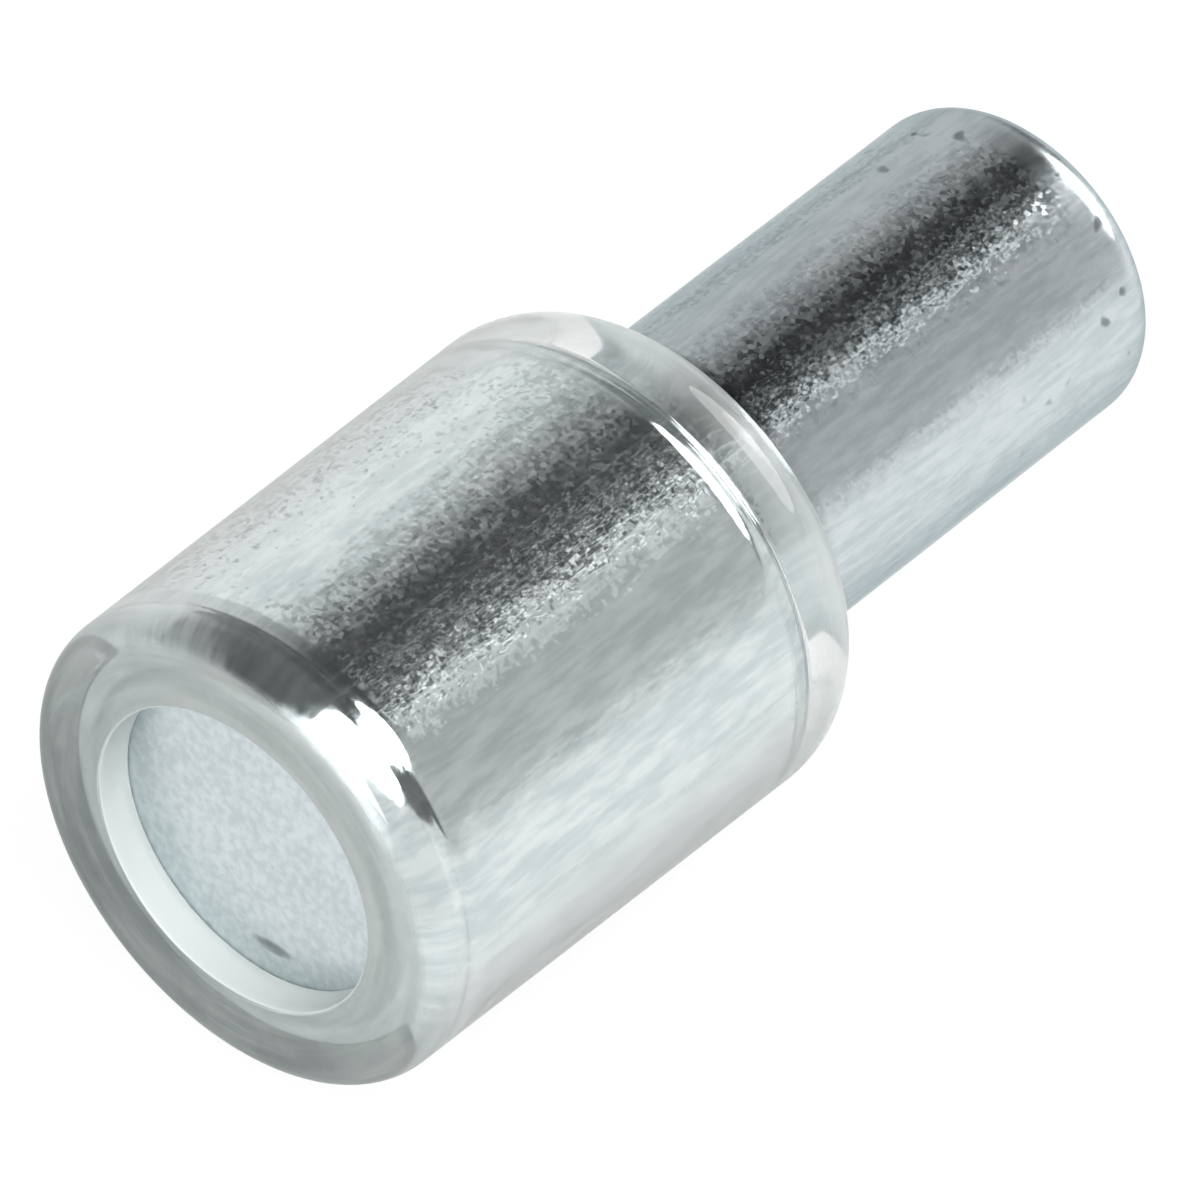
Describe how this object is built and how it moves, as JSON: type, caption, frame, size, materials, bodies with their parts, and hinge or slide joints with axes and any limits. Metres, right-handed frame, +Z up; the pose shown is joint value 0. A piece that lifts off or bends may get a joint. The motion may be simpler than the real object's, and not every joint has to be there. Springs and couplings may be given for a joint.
{
  "type": "shelf support pin",
  "caption": "Stepped plated steel shelf support pin with a clear plastic sleeve over its thicker head, plugged into a drilled cabinet side to carry a shelf.",
  "frame": {"origin": "on the pin's axis, where it meets the face of the cabinet side that the sleeve's rear rim sits against", "axes": "+X along the axis, from the head towards the shank's tip and into the cabinet side; +Z up, towards the shelf; +Y level"},
  "size_m": [0.017, 0.0076, 0.0076],
  "materials": {
    "plated_steel": "bright zinc plate with a fine tumbled grain",
    "clear_plastic": "clear moulded plastic, smooth, with a faint grey tint"
  },
  "bodies": {
    "root": {"steel_pin": "plated_steel", "clear_sleeve": "clear_plastic"}
  },
  "joints": []
}
